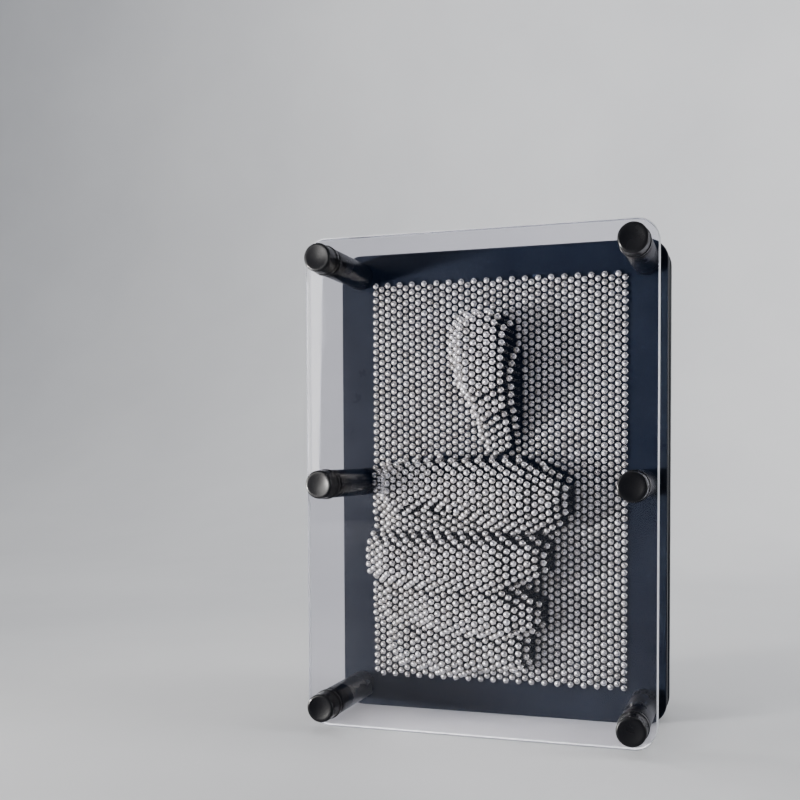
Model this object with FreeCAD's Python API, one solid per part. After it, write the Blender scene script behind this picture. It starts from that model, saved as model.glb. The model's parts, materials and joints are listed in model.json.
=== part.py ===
import FreeCAD, Part
import math
import os

# Pin art impression toy: a clear window, two perforated plates held apart on
# six posts, and a field of headed steel pins that slide through the plates.
# Millimetres. X runs left to right, Z up, the clear window faces -Y.

V = FreeCAD.Vector
os.makedirs("parts", exist_ok=True)

# ---------------------------------------------------------------- dimensions
WIDTH = 127.5            # window and plates, left to right
HEIGHT = 178.0           # window and plates, bottom to top
CORNER_R = 8.0           # rounded corners of window and plates
EDGE_BREAK = 0.4         # small chamfer on the window's polished edges

WINDOW_T = 3.0           # clear window
PLATE_T = 3.0            # each perforated plate
WINDOW_FRONT = 34.0      # pin plate's front face to window's front face
PLATE_PITCH = 10.5       # pin plate's front face to back plate's front face

POST_INSET_X = 8.0       # post centres from the side edges
POST_INSET_Z = 8.2       # post centres from the top and bottom edges
POST_D = 10.4            # black spacer posts between pin plate and window
CAP_D = 11.0             # caps in front of the window and behind the back plate
FRONT_CAP_L = 7.5
REAR_CAP_L = 6.0
CAP_EDGE = 0.9           # rounded rim of the caps
RING_D = 10.2            # ring groove where a front cap meets the window
RING_L = 1.0
SPACER_D = 9.6           # spacers between the two plates
ROD_D = 4.0              # steel tie rod down the middle of each post
ROD_HOLE_D = 4.6
ROD_REACH_FRONT = 5.0    # how far the rod runs into the front cap
ROD_REACH_REAR = 3.5

COLUMNS = 40             # pins across
ROWS = 54                # pins in each column
COLUMN_PITCH = 2.5
ROW_PITCH = 2.85         # alternate columns are half a row pitch out of step
FIELD_X = -0.45          # centre of the pin field from the plate's centre
FIELD_Z = 0.5
SHANK_D = 1.0
HOLE_D = 1.4
PIN_L = 45.0             # head's underside to the tail end
HEAD_D = 2.44
HEAD_RIM = 0.45          # straight rim of the head
HEAD_CROWN = 0.65        # rise of the head's face above the rim
HEAD_REST_GAP = 0.3      # head's underside off the pin plate when seated
TRAVEL = 29.0            # seated to just behind the window

LEVEL_STEP = 1.25        # height step between the groups of pins
LEVELS = 18              # level 0 is seated


# ------------------------------------------------------------- relief at rest
# The pins hold the impression of a fist with its thumb up. Each stroke is a
# run of (x, z, half width, height) stations measured from the plate's centre,
# with how square its sides are and how full its crown is. The relief at a
# point is the highest stroke there.
THUMB = [(-3.0, 53.5, 10.8, 19.0), (-1.0, 39.0, 10.6, 20.3), (0.5, 31.0, 9.0, 16.8), (2.0, 16.4, 6.4, 6.5)]
THUMB_SIDE = [(-8.0, 54.5, 11.0, 8.5), (-8.0, 49.0, 10.5, 10.0), (-6.0, 40.0, 9.5, 12.0), (-1.0, 31.0, 8.0, 9.0)]
INDEX = [(-50.0, -3.5, 9.5, 1.0), (-34.0, -1.5, 10.6, 15.3), (-20.2, 0.4, 9.5, 18.8), (8.6, -4.6, 13.8, 20.0), (18.0, -5.6, 12.4, 17.5)]
MIDDLE = [(-50.0, -28.2, 8.5, 8.5), (-36.0, -29.0, 10.6, 16.3), (-17.7, -29.8, 12.0, 19.8), (2.5, -29.5, 12.0, 20.8), (14.0, -28.0, 8.8, 18.5)]
THIRD = [(-48.0, -46.1, 7.5, 1.5), (-37.0, -46.1, 8.8, 6.7), (-17.1, -46.6, 10.8, 15.4), (4.0, -47.6, 10.4, 18.8), (11.4, -48.0, 8.6, 16.0)]
LITTLE = [(-33.9, -61.8, 9.5, 7.4), (-16.2, -63.6, 11.0, 10.4), (-6.6, -63.0, 9.0, 11.6), (6.4, -62.4, 8.6, 12.2)]
PALM = [(-30.0, -6.0, 13.0, 9.0), (-28.2, -28.7, 19.0, 8.5), (-4.4, -26.2, 23.5, 10.5), (1.1, -44.5, 17.0, 4.6)]
STROKES = [
    (THUMB, 5.5, 0.5), (THUMB_SIDE, 2.4, 0.8), (INDEX, 3.2, 0.36), (MIDDLE, 3.6, 0.5),
    (THIRD, 4.2, 0.46), (LITTLE, 3.8, 0.54), (PALM, 3.1, 0.56),
]


def relief(x, z):
    """Height of the impression above the seated field at a point of the plate."""
    best = 0.0
    for stroke, square, crown in STROKES:
        for (x0, z0, w0, h0), (x1, z1, w1, h1) in zip(stroke, stroke[1:]):
            dx, dz = x1 - x0, z1 - z0
            t = ((x - x0) * dx + (z - z0) * dz) / (dx * dx + dz * dz)
            t = min(1.0, max(0.0, t))
            d = math.hypot(x - x0 - t * dx, z - z0 - t * dz)
            w, h = w0 + t * (w1 - w0), h0 + t * (h1 - h0)
            if d < w:
                best = max(best, h * (1.0 - (d / w) ** square) ** crown)
    return best


# ------------------------------------------------------------ depth positions
# y measured from the pin plate's front face, positive to the rear
Y_CAP_FRONT = -WINDOW_FRONT - FRONT_CAP_L
Y_TAIL = -HEAD_REST_GAP + PIN_L
Y0 = -(Y_CAP_FRONT + Y_TAIL) / 2.0      # centres the whole toy on y = 0

POSTS = {
    "top_left": (-1, 2), "top_right": (1, 2),
    "middle_left": (-1, 1), "middle_right": (1, 1),
    "bottom_left": (-1, 0), "bottom_right": (1, 0),
}


def post_xz(place):
    sx, row = POSTS[place]
    x = sx * (WIDTH / 2.0 - POST_INSET_X)
    z = {0: POST_INSET_Z, 1: HEIGHT / 2.0, 2: HEIGHT - POST_INSET_Z}[row]
    return x, z


def rounded_outline(inset, y):
    """Closed wire round the window or a plate, at depth y."""
    x, z0, z1 = WIDTH / 2.0 - inset, inset, HEIGHT - inset
    r = CORNER_R - inset
    c = r * (1.0 - math.sqrt(0.5))
    edges = [
        Part.LineSegment(V(-x + r, y, z0), V(x - r, y, z0)).toShape(),
        Part.Arc(V(x - r, y, z0), V(x - c, y, z0 + c), V(x, y, z0 + r)).toShape(),
        Part.LineSegment(V(x, y, z0 + r), V(x, y, z1 - r)).toShape(),
        Part.Arc(V(x, y, z1 - r), V(x - c, y, z1 - c), V(x - r, y, z1)).toShape(),
        Part.LineSegment(V(x - r, y, z1), V(-x + r, y, z1)).toShape(),
        Part.Arc(V(-x + r, y, z1), V(-x + c, y, z1 - c), V(-x, y, z1 - r)).toShape(),
        Part.LineSegment(V(-x, y, z1 - r), V(-x, y, z0 + r)).toShape(),
        Part.Arc(V(-x, y, z0 + r), V(-x + c, y, z0 + c), V(-x + r, y, z0)).toShape(),
    ]
    return Part.Wire(edges)


def circle_wire(x, y, z, d):
    return Part.Wire([Part.Circle(V(x, y, z), V(0, 1, 0), d / 2.0).toShape()])


def rod(x, y0, y1, z, d):
    return Part.makeCylinder(d / 2.0, y1 - y0, V(x, y0, z), V(0, 1, 0))


def strip_outline(x0, x1, y):
    """Closed wire round the part of a plate between x0 and x1, with the plate's
    rounded corners where an end is the plate's own edge."""
    r, h = CORNER_R, HEIGHT
    c = r * (1.0 - math.sqrt(0.5))
    run = []
    if x1 > WIDTH / 2.0 - 0.001:
        run += [(x1 - r, 0.0), (x1 - c, c, x1, r), (x1, h - r), (x1 - c, h - c, x1 - r, h)]
    else:
        run += [(x1, 0.0), (x1, h)]
    if x0 < -WIDTH / 2.0 + 0.001:
        run += [(x0 + r, h), (x0 + c, h - c, x0, h - r), (x0, r), (x0 + c, c, x0 + r, 0.0)]
    else:
        run += [(x0, h), (x0, 0.0)]
    edges, first = [], run[0]
    last = first
    for p in run[1:] + [first]:
        if p[-2:] == last:
            continue
        if len(p) == 2:
            edges.append(Part.LineSegment(V(last[0], y, last[1]), V(p[0], y, p[1])).toShape())
        else:
            edges.append(Part.Arc(V(last[0], y, last[1]), V(p[0], y, p[1]), V(p[2], y, p[3])).toShape())
        last = p[-2:]
    return Part.Wire(edges)


def window_blank(y):
    wires = [rounded_outline(0.0, y)]
    for place in POSTS:
        x, z = post_xz(place)
        wires.append(circle_wire(x, y, z, ROD_HOLE_D))
    return Part.Face(wires).extrude(V(0, WINDOW_T, 0))


def plate_strip(y, x0, x1):
    """The part of a perforated plate between x0 and x1, cut between two pin columns."""
    wires = [strip_outline(x0, x1, y)]
    wires += [circle_wire(x, y, z, ROD_HOLE_D) for x, z in map(post_xz, POSTS) if x0 < x < x1]
    wires += [circle_wire(x, y, z, HOLE_D) for x, z, _ in PINS if x0 < x < x1]
    return Part.Face(wires).extrude(V(0, PLATE_T, 0))


def turned(points, x, z):
    """Solid of revolution about the line along Y through (x, z). points is a
    closed run of (radius, y), and a tuple of 4 is an arc (mid r, mid y, end r, end y)."""
    edges, last = [], points[0]
    for p in points[1:]:
        if len(p) == 2:
            a, b = V(x + last[0], last[1], z), V(x + p[0], p[1], z)
            edges.append(Part.LineSegment(a, b).toShape())
            last = p
        else:
            edges.append(Part.Arc(V(x + last[0], last[1], z), V(x + p[0], p[1], z), V(x + p[2], p[3], z)).toShape())
            last = (p[2], p[3])
    return Part.Face(Part.Wire(edges)).revolve(V(x, 0, z), V(0, 1, 0), 360)


def save(name, solids):
    shape = solids[0] if len(solids) == 1 else Part.makeCompound(solids)
    shape.exportStep("parts/%s.step" % name)


# -------------------------------------------------------------- the pin field
PINS = []                # x, z, level
for col in range(COLUMNS):
    for row in range(ROWS):
        x = (col - (COLUMNS - 1) / 2.0) * COLUMN_PITCH + FIELD_X
        z = ((ROWS - 1) / 2.0 - row) * ROW_PITCH + FIELD_Z
        z += ROW_PITCH / 4.0 if col % 2 == 0 else -ROW_PITCH / 4.0
        level = int(round(relief(x, z) / LEVEL_STEP))
        PINS.append((x, z + HEIGHT / 2.0, min(level, LEVELS - 1)))

# ---------------------------------------------------------- window and plates
Y_WINDOW = Y0 - WINDOW_FRONT
window = window_blank(Y_WINDOW)
rim = [e for e in window.Edges
       if all(abs(abs(v.Point.x) - WIDTH / 2.0) < CORNER_R + 0.01 for v in e.Vertexes)
       and e.BoundBox.YLength < 0.01
       and (e.BoundBox.XMax > WIDTH / 2.0 - CORNER_R - 0.01 or e.BoundBox.XMin < -WIDTH / 2.0 + CORNER_R + 0.01
            or e.BoundBox.ZMin > HEIGHT - 0.01 or e.BoundBox.ZMax < 0.01)
       and not (e.BoundBox.XLength > 4 and e.BoundBox.XLength < 5)]
window = window.makeChamfer(EDGE_BREAK, rim)
save("front_window", [window])
# each plate is one sheet, kept as four strips that meet between pin columns
cuts = [-WIDTH / 2.0] + [FIELD_X + k * COLUMN_PITCH for k in (-10, 0, 10)] + [WIDTH / 2.0]
for (x0, x1), part in zip(zip(cuts, cuts[1:]), ("left", "mid_left", "mid_right", "right")):
    save("front_pin_plate_" + part, [plate_strip(Y0, x0, x1)])
    save("back_guide_plate_" + part, [plate_strip(Y0 + PLATE_PITCH, x0, x1)])

# ------------------------------------------- posts, caps, spacers, tie rods
Y_BACK = Y0 + PLATE_PITCH + PLATE_T
rods, spacers, rear_caps = [], [], []
for place in POSTS:
    x, z = post_xz(place)
    bore = ROD_HOLE_D / 2.0
    post = rod(x, Y_WINDOW + WINDOW_T, Y0, z, POST_D).cut(rod(x, Y_WINDOW, Y0 + 1, z, ROD_HOLE_D))
    save("post_%s" % place, [post])

    r, e = CAP_D / 2.0, CAP_EDGE
    y1, y0 = Y_WINDOW, Y_WINDOW - FRONT_CAP_L
    s = e * (1 - math.sqrt(0.5))
    cap = turned([(0, y0), (r - e, y0), (r - s, y0 + s, r, y0 + e), (r, y1 - RING_L), (RING_D / 2.0, y1 - RING_L),
                  (RING_D / 2.0, y1), (bore, y1), (bore, y1 - ROD_REACH_FRONT), (0, y1 - ROD_REACH_FRONT), (0, y0)], x, z)
    save("front_cap_%s" % place, [cap])

    y0, y1 = Y_BACK, Y_BACK + REAR_CAP_L
    rear_caps.append(turned([(bore, y0), (r, y0), (r, y1 - e), (r - s, y1 - s, r - e, y1), (0, y1),
                             (0, y0 + ROD_REACH_REAR), (bore, y0 + ROD_REACH_REAR), (bore, y0)], x, z))
    spacers.append(rod(x, Y0 + PLATE_T, Y0 + PLATE_PITCH, z, SPACER_D).cut(rod(x, Y0, Y_BACK, z, ROD_HOLE_D)))
    rods.append(rod(x, Y_WINDOW - ROD_REACH_FRONT, Y_BACK + ROD_REACH_REAR, z, ROD_D))
save("plate_spacers", spacers)
save("rear_caps", rear_caps)
save("tie_rods", rods)

# ----------------------------------------------------------------------- pins
h, s = HEAD_D / 2.0, SHANK_D / 2.0
PIN = turned([(0, PIN_L), (s, PIN_L), (s, 0), (h, 0), (h, -HEAD_RIM), (0, -HEAD_RIM - HEAD_CROWN), (0, PIN_L)], 0, 0)


def save_pins(name, level, places):
    y = Y0 - HEAD_REST_GAP - level * LEVEL_STEP
    save(name, [PIN.translated(V(x, y, z)) for x, z in places])


# the seated pins outnumber the rest, so they are kept as four bands
seated = sorted(((x, z) for x, z, k in PINS if k == 0), key=lambda p: (-p[1], p[0]))
share = -(-len(seated) // 4)
for i, band in enumerate(("top", "upper", "lower", "bottom")):
    save_pins("pins_level_00_" + band, 0, seated[i * share:(i + 1) * share])
for level in range(1, LEVELS):
    here = [(x, z) for x, z, k in PINS if k == level]
    if here:
        save_pins("pins_level_%02d" % level, level, here)
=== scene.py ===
import json
import math

import bpy
import numpy as np
from mathutils import Matrix, Vector
from mathutils.geometry import tessellate_polygon


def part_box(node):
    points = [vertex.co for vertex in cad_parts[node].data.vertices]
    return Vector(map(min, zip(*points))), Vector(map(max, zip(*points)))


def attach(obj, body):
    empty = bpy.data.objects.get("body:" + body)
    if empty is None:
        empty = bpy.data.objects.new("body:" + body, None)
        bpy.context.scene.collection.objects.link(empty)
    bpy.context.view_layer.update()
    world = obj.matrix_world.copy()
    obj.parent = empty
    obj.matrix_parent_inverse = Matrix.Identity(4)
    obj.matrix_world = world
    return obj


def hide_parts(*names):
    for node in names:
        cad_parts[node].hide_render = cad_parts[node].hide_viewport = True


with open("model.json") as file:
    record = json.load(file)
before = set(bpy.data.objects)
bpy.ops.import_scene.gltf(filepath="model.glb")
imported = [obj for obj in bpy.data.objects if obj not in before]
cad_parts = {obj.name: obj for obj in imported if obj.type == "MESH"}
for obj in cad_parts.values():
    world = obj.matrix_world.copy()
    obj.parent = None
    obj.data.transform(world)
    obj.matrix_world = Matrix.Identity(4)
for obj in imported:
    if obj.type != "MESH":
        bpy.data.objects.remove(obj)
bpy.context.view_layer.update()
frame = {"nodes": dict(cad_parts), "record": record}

MM = 0.001
rng = np.random.RandomState(11)

# ------------------------------------------------------------ sizes, in metres
COLUMN_PITCH, ROW_PITCH = 2.5 * MM, 2.85 * MM
FIELD_X, FIELD_Z = -0.45 * MM, 0.5 * MM
COLUMNS, ROWS = 40, 54
HOLE_R, SHANK_R, HEAD_R = 0.7 * MM, 0.5 * MM, 1.18 * MM
CORNER_R = 8.0 * MM
PLACES = ("top_left", "top_right", "middle_left", "middle_right", "bottom_left", "bottom_right")
STRIPS = ("left", "mid_left", "mid_right", "right")


def union_box(names):
    boxes = [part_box(n) for n in names]
    lo = Vector(tuple(min(b[0][i] for b in boxes) for i in range(3)))
    hi = Vector(tuple(max(b[1][i] for b in boxes) for i in range(3)))
    return lo, hi


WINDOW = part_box("front_window")
PIN_PLATE = union_box(["front_pin_plate_" + s for s in STRIPS])
BACK_PLATE = union_box(["back_guide_plate_" + s for s in STRIPS])
MID_X = (WINDOW[0].x + WINDOW[1].x) / 2
MID_Z = (WINDOW[0].z + WINDOW[1].z) / 2


# ------------------------------------------------------------------- materials
def new_material(name):
    m = bpy.data.materials.new(name)
    m.use_nodes = True
    nt = m.node_tree
    bsdf = nt.nodes["Principled BSDF"]
    return m, nt, bsdf


def node(nt, kind, **values):
    n = nt.nodes.new(kind)
    for k, v in values.items():
        if k in n.inputs:
            n.inputs[k].default_value = v
        else:
            setattr(n, k, v)
    return n


def coords(nt, scale=1.0):
    tc = nt.nodes.new("ShaderNodeTexCoord")
    mp = nt.nodes.new("ShaderNodeMapping")
    mp.inputs["Scale"].default_value = (scale, scale, scale) if not isinstance(scale, tuple) else scale
    nt.links.new(tc.outputs["Object"], mp.inputs["Vector"])
    return mp.outputs["Vector"]


def noise(nt, vector, scale, detail=4.0, rough=0.55):
    n = nt.nodes.new("ShaderNodeTexNoise")
    n.inputs["Scale"].default_value = scale
    n.inputs["Detail"].default_value = detail
    n.inputs["Roughness"].default_value = rough
    nt.links.new(vector, n.inputs["Vector"])
    return n.outputs["Fac"]


def ranged(nt, fac, lo, hi, a=0.3, b=0.7):
    r = nt.nodes.new("ShaderNodeMapRange")
    r.inputs["From Min"].default_value = a
    r.inputs["From Max"].default_value = b
    r.inputs["To Min"].default_value = lo
    r.inputs["To Max"].default_value = hi
    nt.links.new(fac, r.inputs["Value"])
    return r.outputs["Result"]


def ramp(nt, fac, stops):
    r = nt.nodes.new("ShaderNodeValToRGB")
    while len(r.color_ramp.elements) < len(stops):
        r.color_ramp.elements.new(0.5)
    for e, (p, c) in zip(r.color_ramp.elements, stops):
        e.position = p
        e.color = (*c, 1.0)
    nt.links.new(fac, r.inputs["Fac"])
    return r.outputs["Color"]


def bump(nt, bsdf, height, strength, distance):
    b = nt.nodes.new("ShaderNodeBump")
    b.inputs["Strength"].default_value = strength
    b.inputs["Distance"].default_value = distance
    nt.links.new(height, b.inputs["Height"])
    nt.links.new(b.outputs["Normal"], bsdf.inputs["Normal"])


def moulded_black(name, dark, light, r0, r1, grain, strength, spec=0.5):
    """Black moulded plastic: slightly uneven gloss, faint grain, a little dust."""
    m, nt, bsdf = new_material(name)
    v = coords(nt)
    broad = noise(nt, v, 45.0, 5.0)
    fine = noise(nt, v, grain, 3.0, 0.6)
    nt.links.new(ramp(nt, broad, [(0.35, dark), (0.7, light)]), bsdf.inputs["Base Color"])
    nt.links.new(ranged(nt, broad, r0, r1), bsdf.inputs["Roughness"])
    bsdf.inputs["IOR"].default_value = 1.5
    bsdf.inputs["Specular IOR Level"].default_value = spec
    bump(nt, bsdf, fine, strength, 0.00006)
    return m


PLATE = moulded_black("black_satin_plate", (0.0035, 0.005, 0.009), (0.006, 0.0085, 0.014), 0.26, 0.36, 2600.0, 0.22, spec=0.12)
GLOSS = moulded_black("black_gloss_moulding", (0.0025, 0.0025, 0.003), (0.006, 0.006, 0.007), 0.2, 0.32, 1500.0, 0.12, spec=0.26)


def pin_steel():
    """Bright plated steel: each pin a little different in colour and gloss, with fine drawing lines along the shank;
    the shanks are painted dark as painted shade.
    """
    m, nt, bsdf = new_material("bright_plated_steel")
    tone_and_shade = nt.nodes.new("ShaderNodeAttribute")
    tone_and_shade.attribute_name = "tone_and_shade"
    v = coords(nt)
    patch = noise(nt, v, 900.0, 3.0)
    mixed = nt.nodes.new("ShaderNodeMath")
    mixed.operation = "MULTIPLY_ADD"
    mixed.inputs[1].default_value = 0.3
    nt.links.new(patch, mixed.inputs[0])
    nt.links.new(tone_and_shade.outputs["Fac"], mixed.inputs[2])
    # the low end of this ramp is the painted shade on the shanks; the rest is each pin's own colour
    colour = ramp(nt, mixed.outputs[0], [(0.14, (0.30, 0.295, 0.28)), (0.34, (0.64, 0.61, 0.555)), (0.6, (0.86, 0.84, 0.79)), (1.0, (0.95, 0.94, 0.91))])
    nt.links.new(colour, bsdf.inputs["Base Color"])
    bsdf.inputs["Metallic"].default_value = 0.94
    nt.links.new(ranged(nt, patch, 0.19, 0.30), bsdf.inputs["Roughness"])
    lines = noise(nt, coords(nt, (2600.0, 90.0, 2600.0)), 1.0, 2.0)
    bump(nt, bsdf, lines, 0.10, 0.00003)
    return m


def zinc():
    m, nt, bsdf = new_material("zinc_plated_rod")
    v = coords(nt)
    patch = noise(nt, v, 300.0, 4.0)
    nt.links.new(ramp(nt, patch, [(0.3, (0.50, 0.51, 0.50)), (0.7, (0.66, 0.66, 0.63))]), bsdf.inputs["Base Color"])
    bsdf.inputs["Metallic"].default_value = 1.0
    nt.links.new(ranged(nt, patch, 0.25, 0.4), bsdf.inputs["Roughness"])
    bump(nt, bsdf, noise(nt, coords(nt, (900.0, 90.0, 900.0)), 1.0, 2.0), 0.15, 0.00003)
    return m


def clear_acrylic():
    """Clear cast sheet with the faintest smudges; its polished edges are painted pale as a painted glow of the light
    they carry, with painted shade on those turned left and down.
    """
    m, nt, bsdf = new_material("clear_acrylic_sheet")
    v = coords(nt)
    smudge = noise(nt, v, 26.0, 4.0)
    nt.links.new(ranged(nt, smudge, 0.0, 0.035, 0.45, 0.75), bsdf.inputs["Roughness"])
    nt.links.new(ramp(nt, noise(nt, v, 9.0, 2.0), [(0.3, (0.80, 0.79, 0.86)), (0.7, (0.84, 0.835, 0.89))]), bsdf.inputs["Base Color"])
    bsdf.inputs["IOR"].default_value = 1.49
    bsdf.inputs["Transmission Weight"].default_value = 1.0
    # polished edge: half clear, painted pale as a painted glow of the light the sheet carries to its edges
    edge = nt.nodes.new("ShaderNodeBsdfPrincipled")
    edge_painted_glow = ramp(nt, noise(nt, v, 160.0, 3.0), [(0.3, (0.90, 0.92, 0.97)), (0.7, (0.98, 0.985, 1.0))])
    edge.inputs["Roughness"].default_value = 0.22
    edge.inputs["IOR"].default_value = 1.49
    edge.inputs["Transmission Weight"].default_value = 0.35
    tc = nt.nodes.new("ShaderNodeTexCoord")
    sep = nt.nodes.new("ShaderNodeSeparateXYZ")
    nt.links.new(tc.outputs["Normal"], sep.inputs[0])
    ab = nt.nodes.new("ShaderNodeMath")
    ab.operation = "ABSOLUTE"
    nt.links.new(sep.outputs["Y"], ab.inputs[0])
    side = ranged(nt, ab.outputs[0], 1.0, 0.0, 0.8, 0.95)
    # painted shade: edges turned to the left and down are painted darker than those turned right and up, as if they
    # gathered less light
    lean = nt.nodes.new("ShaderNodeMath")
    lean.operation = "ADD"
    nt.links.new(sep.outputs["X"], lean.inputs[0])
    nt.links.new(sep.outputs["Z"], lean.inputs[1])
    edge_glow_and_shade = nt.nodes.new("ShaderNodeMixRGB")
    # painted shade colour for the edges turned away from the light
    edge_glow_and_shade.inputs[2].default_value = (0.20, 0.21, 0.25, 1.0)
    nt.links.new(ranged(nt, lean.outputs[0], 0.0, 1.0, 0.2, -0.6), edge_glow_and_shade.inputs[0])
    nt.links.new(edge_painted_glow, edge_glow_and_shade.inputs[1])
    nt.links.new(edge_glow_and_shade.outputs[0], edge.inputs["Base Color"])
    mix_edge = nt.nodes.new("ShaderNodeMixShader")
    nt.links.new(side, mix_edge.inputs[0])
    nt.links.new(bsdf.outputs[0], mix_edge.inputs[1])
    nt.links.new(edge.outputs[0], mix_edge.inputs[2])
    # lamps reach what is behind the sheet
    lamp = nt.nodes.new("ShaderNodeLightPath")
    clear = nt.nodes.new("ShaderNodeBsdfTransparent")
    clear.inputs["Color"].default_value = (0.93, 0.94, 0.96, 1)
    mix = nt.nodes.new("ShaderNodeMixShader")
    nt.links.new(lamp.outputs["Is Shadow Ray"], mix.inputs[0])
    nt.links.new(mix_edge.outputs[0], mix.inputs[1])
    nt.links.new(clear.outputs[0], mix.inputs[2])
    nt.links.new(mix.outputs[0], nt.nodes["Material Output"].inputs["Surface"])
    return m


STEEL, ZINC, ACRYLIC = pin_steel(), zinc(), clear_acrylic()


# ---------------------------------------------------------------------- meshes
def finish_piece(name, verts, faces, material, body, nodes, smooth_angle=35.0, tone_and_shade=None):
    me = bpy.data.meshes.new(name)
    me.from_pydata([tuple(v) for v in verts], [], [tuple(f) for f in faces])
    me.validate()
    me.update()
    me.shade_smooth()
    me.set_sharp_from_angle(angle=math.radians(smooth_angle))
    if tone_and_shade is not None:
        a = me.attributes.new("tone_and_shade", "FLOAT", "POINT")
        a.data.foreach_set("value", np.asarray(tone_and_shade, np.float32))
    o = bpy.data.objects.new(name, me)
    bpy.context.scene.collection.objects.link(o)
    me.materials.append(material)
    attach(o, body)
    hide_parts(*nodes)
    return o


def lathe(profile, places, segs, closed=False):
    """Revolves (r, y) round lines along Y through each (x, z). An end with r = 0 closes to a point.
    With closed the profile is a loop, as for a tube."""
    prof = [(float(r), float(y)) for r, y in profile]
    ang = np.arange(segs) * 2 * math.pi / segs
    rings, unit_v, unit_f = [], [], []
    for r, y in prof:
        if r < 1e-9:
            rings.append([len(unit_v)])
            unit_v.append((0.0, y, 0.0))
        else:
            rings.append(list(range(len(unit_v), len(unit_v) + segs)))
            unit_v += [(r * math.cos(a), y, r * math.sin(a)) for a in ang]
    pairs = list(zip(rings, rings[1:])) + ([(rings[-1], rings[0])] if closed else [])
    for a, b in pairs:
        for i in range(segs):
            j = (i + 1) % segs
            if len(a) == 1 and len(b) == 1:
                continue
            if len(a) == 1:
                unit_f.append((a[0], b[j], b[i]))
            elif len(b) == 1:
                unit_f.append((a[i], a[j], b[0]))
            else:
                unit_f.append((a[i], a[j], b[j], b[i]))
    uv = np.array(unit_v)
    vol = 0.0
    for f in unit_f:
        for k in range(1, len(f) - 1):
            vol += np.dot(uv[f[0]], np.cross(uv[f[k]], uv[f[k + 1]]))
    if vol < 0:
        unit_f = [f[::-1] for f in unit_f]
    verts, faces = [], []
    for n, (x, z) in enumerate(places):
        verts.append(uv + np.array([x, 0.0, z]))
        base = n * len(uv)
        faces += [tuple(i + base for i in f) for f in unit_f]
    return np.vstack(verts), faces, len(uv)


def arc(cr, cy, r, a0, a1, n):
    """Points of an arc in (r, y), angles in degrees from the outward direction towards +y."""
    return [(cr + r * math.cos(math.radians(a)), cy + r * math.sin(math.radians(a))) for a in np.linspace(a0, a1, n)]


# ------------------------------------------------------------------------ pins
def lattice(points):
    """Centres of the pins that the given (x, z) points belong to."""
    col = np.rint((points[:, 0] - FIELD_X) / COLUMN_PITCH + (COLUMNS - 1) / 2)
    shift = np.where(col % 2 == 0, ROW_PITCH / 4, -ROW_PITCH / 4)
    row = np.rint((ROWS - 1) / 2 - (points[:, 1] - MID_Z - FIELD_Z - shift) / ROW_PITCH)
    cells = sorted(set(zip(col.astype(int).tolist(), row.astype(int).tolist())))
    out = []
    for c, r in cells:
        s = ROW_PITCH / 4 if c % 2 == 0 else -ROW_PITCH / 4
        out.append(((c - (COLUMNS - 1) / 2) * COLUMN_PITCH + FIELD_X, ((ROWS - 1) / 2 - r) * ROW_PITCH + FIELD_Z + s + MID_Z))
    return out


def pin_profile(head, tail):
    """Half outline of a pin from the crown of its head to the tail, y growing to the rear."""
    rim, crown, low = 0.45 * MM, 0.65 * MM, 0.1 * MM
    under = head + rim + crown
    head, crown = head + low, crown - low
    e = 0.16 * MM
    sphere = (HEAD_R ** 2 + crown ** 2) / (2 * crown)
    top = math.asin((HEAD_R - 0.05 * MM) / sphere)
    dome = [(sphere * math.sin(t), head + sphere - sphere * math.cos(t)) for t in np.linspace(0.0, top, 5)]
    return (dome + [(HEAD_R, head + crown + 0.07 * MM), (HEAD_R, under - e), (HEAD_R - e, under), (SHANK_R + 0.1 * MM, under),
            (SHANK_R, under + 0.12 * MM), (SHANK_R, tail - 0.15 * MM), (SHANK_R - 0.13 * MM, tail), (0.0, tail)])


for body, members in sorted(frame["record"]["behaviour"]["bodies"].items()):
    if not body.startswith("pins_"):
        continue
    for name in members:
        lo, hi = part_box(name)
        co = np.array([v.co for v in frame["nodes"][name].data.vertices])
        tails = co[co[:, 1] > hi.y - 0.01 * MM]
        centres = lattice(tails[:, [0, 2]])
        prof = pin_profile(lo.y, hi.y)
        verts, faces, per = lathe(prof, centres, 16)
        # no two pins look perfectly alike: each is toned a little differently
        tone_and_shade = np.repeat(np.clip(rng.normal(0.42, 0.13, len(centres)), 0.18, 0.8), per)
        # painted shade: the shanks, down among the pins where little light reaches, are painted far darker than the
        # heads
        tone_and_shade = np.where(verts[:, 1] > lo.y + 1.15 * MM, tone_and_shade * 0.12, tone_and_shade)
        finish_piece("steel_" + name, verts, faces, STEEL, body, [name], 40.0, tone_and_shade)


# ---------------------------------------------------------------------- plates
def outline(inset, n=10):
    x0, x1, z0, z1 = PIN_PLATE[0].x + inset, PIN_PLATE[1].x - inset, PIN_PLATE[0].z + inset, PIN_PLATE[1].z - inset
    r = CORNER_R - inset
    pts = []
    for cx, cz, a0 in ((x1 - r, z1 - r, 0), (x0 + r, z1 - r, 90), (x0 + r, z0 + r, 180), (x1 - r, z0 + r, 270)):
        for a in np.linspace(a0, a0 + 90, n):
            pts.append((cx + r * math.cos(math.radians(a)), cz + r * math.sin(math.radians(a))))
    return pts


ROD_XZ = {}
for p in PLACES:
    lo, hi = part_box("front_cap_" + p)
    ROD_XZ[p] = ((lo.x + hi.x) / 2, (lo.z + hi.z) / 2)


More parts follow.
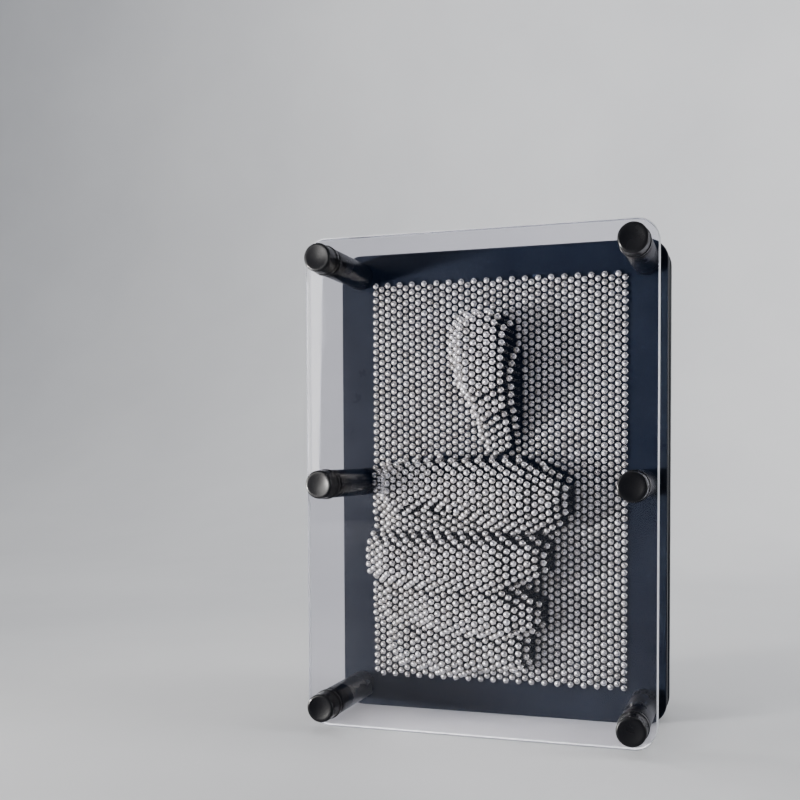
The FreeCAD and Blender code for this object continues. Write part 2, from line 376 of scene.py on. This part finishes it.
def perforated_plate(y0, y1):
    """A sheet with a round hole for every pin, softened outer edges and six rod holes."""
    verts, index, faces = [], {}, []

    def vid(x, y, z):
        key = (round(x * 1e7), round(y * 1e7), round(z * 1e7))
        if key not in index:
            index[key] = len(verts)
            verts.append((x, y, z))
        return index[key]

    half_c, half_r = COLUMN_PITCH / 2, ROW_PITCH / 2
    ring = [(HOLE_R * math.cos(math.radians(22.5 * k)), HOLE_R * math.sin(math.radians(22.5 * k))) for k in range(16)]
    # matching points round the tile that the hole sits in, from the middle of its right side
    border = []
    for k in range(16):
        side, step = divmod(k + 2, 4)
        t = step / 4.0
        a = [(1, -1), (1, 1), (-1, 1), (-1, -1), (1, -1)]
        (ax, az), (bx, bz) = a[side % 4], a[side % 4 + 1]
        border.append(((ax + (bx - ax) * t) * half_c, (az + (bz - az) * t) * half_r))
    edge_use = {}
    for c in range(COLUMNS):
        for r in range(ROWS):
            s = ROW_PITCH / 4 if c % 2 == 0 else -ROW_PITCH / 4
            x = (c - (COLUMNS - 1) / 2) * COLUMN_PITCH + FIELD_X
            z = ((ROWS - 1) / 2 - r) * ROW_PITCH + FIELD_Z + s + MID_Z
            rf = [vid(x + a, y0, z + b) for a, b in ring]
            rb = [vid(x + a, y1, z + b) for a, b in ring]
            bf = [vid(x + a, y0, z + b) for a, b in border]
            bb = [vid(x + a, y1, z + b) for a, b in border]
            for i in range(16):
                j = (i + 1) % 16
                faces.append((rf[i], bf[i], bf[j], rf[j]))
                faces.append((rb[j], bb[j], bb[i], rb[i]))
                faces.append((rf[j], rb[j], rb[i], rf[i]))
                e = frozenset((bf[i], bf[j]))
                edge_use[e] = edge_use.get(e, 0) + 1
    loop_edges = [tuple(e) for e, n in edge_use.items() if n == 1]
    near = {}
    for a, b in loop_edges:
        near.setdefault(a, []).append(b)
        near.setdefault(b, []).append(a)
    start = loop_edges[0][0]
    loop, last, now = [start], None, start
    while True:
        nxt = [n for n in near[now] if n != last][0]
        if nxt == start:
            break
        loop.append(nxt)
        last, now = now, nxt
    inner = [(verts[i][0], verts[i][2]) for i in loop]
    e = 0.35 * MM
    rods = [[(x + 2.3 * MM * math.cos(t), z + 2.3 * MM * math.sin(t)) for t in np.arange(28) * 2 * math.pi / 28] for x, z in ROD_XZ.values()]
    for y, flip in ((y0, False), (y1, True)):
        loops = [outline(e), inner] + rods
        flat = [p for l in loops for p in l]
        ids = [vid(x, y, z) for x, z in flat]
        for t in tessellate_polygon([[Vector((x, z, 0.0)) for x, z in l] for l in loops]):
            a, b, c = (flat[i] for i in t)
            up = (b[0] - a[0]) * (c[1] - a[1]) - (b[1] - a[1]) * (c[0] - a[0]) > 0
            f = tuple(ids[i] for i in t)
            if len(set(f)) == 3:
                faces.append(f if up != flip else f[::-1])
    rings = [(outline(e), y0), (outline(0.0), y0 + e), (outline(0.0), y1 - e), (outline(e), y1)]
    for (la, ya), (lb, yb) in zip(rings, rings[1:]):
        n = len(la)
        for i in range(n):
            j = (i + 1) % n
            f = [vid(la[i][0], ya, la[i][1]), vid(lb[i][0], yb, lb[i][1]), vid(lb[j][0], yb, lb[j][1]), vid(la[j][0], ya, la[j][1])]
            if len(set(f)) == 4:
                faces.append(tuple(f))
    for l in rods:
        n = len(l)
        for i in range(n):
            j = (i + 1) % n
            faces.append((vid(l[i][0], y0, l[i][1]), vid(l[j][0], y0, l[j][1]), vid(l[j][0], y1, l[j][1]), vid(l[i][0], y1, l[i][1])))
    return verts, faces


def face_outwards(o):
    import bmesh
    bm = bmesh.new()
    bm.from_mesh(o.data)
    bmesh.ops.recalc_face_normals(bm, faces=bm.faces[:])
    bm.to_mesh(o.data)
    bm.free()
    o.data.set_sharp_from_angle(angle=math.radians(30))


for label, stem, b in (("perforated_pin_plate", "front_pin_plate_", PIN_PLATE), ("perforated_back_plate", "back_guide_plate_", BACK_PLATE)):
    verts, faces = perforated_plate(b[0].y, b[1].y)
    face_outwards(finish_piece(label, verts, faces, PLATE, "frame", [stem + s for s in STRIPS], 30.0))

# ------------------------------------------------- posts, caps, spacers, rods
BORE = 2.3 * MM
for p in PLACES:
    lo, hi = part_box("post_" + p)
    x, z, r = (lo.x + hi.x) / 2, (lo.z + hi.z) / 2, (hi.x - lo.x) / 2
    c = 0.35 * MM
    # a plain tube with softened ends and a shallow witness ring where it was parted from its runner
    prof = [(BORE, lo.y), (r - c, lo.y)] + arc(r - c, lo.y + c, c, -60, 0, 4) + [(r, lo.y + 1.5 * MM), (r - 0.05 * MM, lo.y + 1.56 * MM), (r - 0.05 * MM, lo.y + 1.8 * MM), (r, lo.y + 1.86 * MM)] + \
        arc(r - c, hi.y - c, c, 0, 60, 4) + [(r - c, hi.y), (BORE, hi.y)]
    verts, faces, _ = lathe(prof, [(x, z)], 72, closed=True)
    finish_piece("post-" + p, verts, faces, GLOSS, "frame", ["post_" + p], 32.0)

    lo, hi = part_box("front_cap_" + p)
    x, z, big = (lo.x + hi.x) / 2, (lo.z + hi.z) / 2, (hi.x - lo.x) / 2
    r, e = big - 0.35 * MM, 0.75 * MM
    y0, y1 = lo.y, hi.y
    prof = [(0.0, y0 + 0.16 * MM), (r - 1.9 * MM, y0 + 0.14 * MM), (r - 1.5 * MM, y0 + 0.02 * MM), (r - e - 0.1 * MM, y0)]
    prof += arc(r - e, y0 + e, e, -90, 0, 8)
    prof += [(r, y1 - 1.75 * MM), (r + 0.06 * MM, y1 - 1.5 * MM)]
    prof += arc(big - 0.2 * MM, y1 - 1.3 * MM, 0.2 * MM, -80, 0, 4) + arc(big - 0.2 * MM, y1 - 0.2 * MM, 0.2 * MM, 0, 90, 4)
    prof += [(BORE, y1), (BORE, y1 - 5.0 * MM), (0.0, y1 - 5.0 * MM)]
    verts, faces, _ = lathe(prof, [(x, z)], 72)
    finish_piece("cap-" + p, verts, faces, GLOSS, "frame", ["front_cap_" + p], 32.0)

XZ = list(ROD_XZ.values())
lo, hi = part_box("rear_caps")
big = (hi.x - lo.x) / 2 - (max(x for x, _ in XZ) - min(x for x, _ in XZ)) / 2
y0, y1, e = lo.y, hi.y, 0.9 * MM
prof = [(0.0, y0 + 3.5 * MM), (BORE, y0 + 3.5 * MM), (BORE, y0)] + arc(big - 0.2 * MM, y0 + 0.2 * MM, 0.2 * MM, -90, 0, 4) + \
    arc(big - e, y1 - e, e, 0, 90, 8) + [(big - 1.9 * MM, y1 - 0.02 * MM), (big - 2.3 * MM, y1 - 0.14 * MM), (0.0, y1 - 0.16 * MM)]
verts, faces, _ = lathe(prof, XZ, 72)
finish_piece("caps-rear", verts, faces, GLOSS, "frame", ["rear_caps"], 32.0)

lo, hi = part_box("plate_spacers")
r = (hi.x - lo.x) / 2 - (max(x for x, _ in XZ) - min(x for x, _ in XZ)) / 2
c = 0.3 * MM
prof = [(BORE, lo.y), (r - c, lo.y)] + arc(r - c, lo.y + c, c, -60, 0, 4) + arc(r - c, hi.y - c, c, 0, 60, 4) + [(r - c, hi.y), (BORE, hi.y)]
verts, faces, _ = lathe(prof, XZ, 64, closed=True)
finish_piece("spacers-between-plates", verts, faces, GLOSS, "frame", ["plate_spacers"], 32.0)

lo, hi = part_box("tie_rods")
r = 2.0 * MM
c = 0.4 * MM
prof = [(0.0, lo.y), (r - c, lo.y), (r, lo.y + c), (r, hi.y - c), (r - c, hi.y), (0.0, hi.y)]
verts, faces, _ = lathe(prof, XZ, 40)
finish_piece("rods", verts, faces, ZINC, "frame", ["tie_rods"], 32.0)

# ---------------------------------------------------------------------- window
w = frame["nodes"]["front_window"]
w.data.materials.clear()
w.data.materials.append(ACRYLIC)
for poly in w.data.polygons:
    poly.material_index = 0
for nodes_left in [n for n, o in frame["nodes"].items() if not o.hide_render and n != "front_window"]:
    frame["nodes"][nodes_left].data.materials.clear()
    frame["nodes"][nodes_left].data.materials.append(PLATE if "plate" in nodes_left else GLOSS)

# -------------------------------------------------------------- floor and wall
FLOOR, nt, bsdf = new_material("pale_floor")
v = coords(nt)
nt.links.new(ramp(nt, noise(nt, v, 6.0, 5.0), [(0.3, (0.70, 0.70, 0.705)), (0.7, (0.76, 0.76, 0.76))]), bsdf.inputs["Base Color"])
bsdf.inputs["Roughness"].default_value = 0.6
bump(nt, bsdf, noise(nt, v, 900.0, 3.0), 0.06, 0.0002)
verts, faces = [], []
depth, rise, bend, wide = 0.9, 2.6, 0.5, 3.2
prof = [(-3.0, 0.0), (depth - bend, 0.0)] + [(depth - bend + bend * math.sin(t), bend - bend * math.cos(t)) for t in np.linspace(0.08, math.pi / 2, 16)] + [(depth, rise)]
for y, z in prof:
    verts += [(-wide, y, z - 0.0001), (wide, y, z - 0.0001)]
for i in range(len(prof) - 1):
    faces.append((2 * i, 2 * i + 1, 2 * i + 3, 2 * i + 2))
me = bpy.data.meshes.new("sweep")
me.from_pydata(verts, [], faces)
me.shade_smooth()
sweep = bpy.data.objects.new("sweep", me)
bpy.context.scene.collection.objects.link(sweep)
me.materials.append(FLOOR)
sweep.visible_glossy = False

# ---------------------------------------------------------------------- lights
world = bpy.data.worlds.new("studio")
world.use_nodes = True
wt = world.node_tree
bg = wt.nodes["Background"]
wc = wt.nodes.new("ShaderNodeTexCoord")
ws = wt.nodes.new("ShaderNodeSeparateXYZ")
wt.links.new(wc.outputs["Generated"], ws.inputs[0])
front = ranged(wt, ws.outputs["Y"], 1.0, 0.0, -0.85, -0.2)
wm = wt.nodes.new("ShaderNodeMixRGB")
wm.inputs[1].default_value = (0.90, 0.92, 0.96, 1.0)
wm.inputs[2].default_value = (0.035, 0.066, 0.15, 1.0)
wt.links.new(front, wm.inputs[0])
wl = wt.nodes.new("ShaderNodeLightPath")
wp = wt.nodes.new("ShaderNodeMixRGB")
wp.inputs[2].default_value = (0.92, 0.93, 0.95, 1.0)
wt.links.new(wl.outputs["Is Camera Ray"], wp.inputs[0])
wt.links.new(wm.outputs[0], wp.inputs[1])
wt.links.new(wp.outputs[0], bg.inputs["Color"])
bg.inputs["Strength"].default_value = 0.6
bpy.context.scene.world = world


def area(name, place, target, size, power, colour):
    light = bpy.data.lights.new(name, "AREA")
    light.shape = "RECTANGLE"
    light.size, light.size_y = size
    light.energy = power
    light.color = colour
    o = bpy.data.objects.new(name, light)
    o.location = place
    o.rotation_euler = (Vector(target) - Vector(place)).to_track_quat("-Z", "Y").to_euler()
    bpy.context.scene.collection.objects.link(o)
    return o


AIM = (0.0, 0.0, 0.09)
key = area("key", (-0.56, -0.42, 0.035), (0.0, 0.0, 0.12), (0.1, 0.05), 2.3, (1.0, 0.975, 0.94))
key.data.spread = math.radians(60)
area("fill", (-0.70, -0.95, 0.24), AIM, (0.4, 0.35), 4.2, (1.0, 0.985, 0.96))
area("wall", (0.0, 0.25, 0.85), (0.0, 0.9, 0.25), (1.2, 0.2), 6.0, (1.0, 1.0, 1.0))
area("side", (0.95, 0.12, 0.3), AIM, (0.3, 0.5), 6.0, (0.97, 0.98, 1.0))

# ---------------------------------------------------------------------- camera
F, CX, CY = 975.6, 472.1, 489.4
RX, RY, RZ = (math.radians(a) for a in (1.956, -16.192, 0.105))
TX, TY, TZ = 10.07 * MM, 2.64 * MM, 373.18 * MM
turn = Matrix.Rotation(RZ, 3, "Z") @ Matrix.Rotation(RX, 3, "X") @ Matrix.Rotation(RY, 3, "Y")
to_object = Matrix(((1, 0, 0), (0, 0, 1), (0, -1, 0)))  # plate frame: x right, y up, z to the front
world_to_cam = turn @ to_object
origin = Vector((MID_X, PIN_PLATE[0].y, MID_Z))
cam_data = bpy.data.cameras.new("camera")
cam_data.sensor_width = 36.0
cam_data.lens = F / 800.0 * 36.0
cam_data.shift_x = (400.0 - CX) / 800.0
cam_data.shift_y = (CY - 400.0) / 800.0
cam_data.clip_start = 0.01
cam_data.dof.use_dof = False
cam = bpy.data.objects.new("camera", cam_data)
back = world_to_cam.transposed()
cam.matrix_world = Matrix.Translation(origin - back @ Vector((TX, TY, -TZ))) @ back.to_4x4()
bpy.context.scene.collection.objects.link(cam)
bpy.context.scene.camera = cam
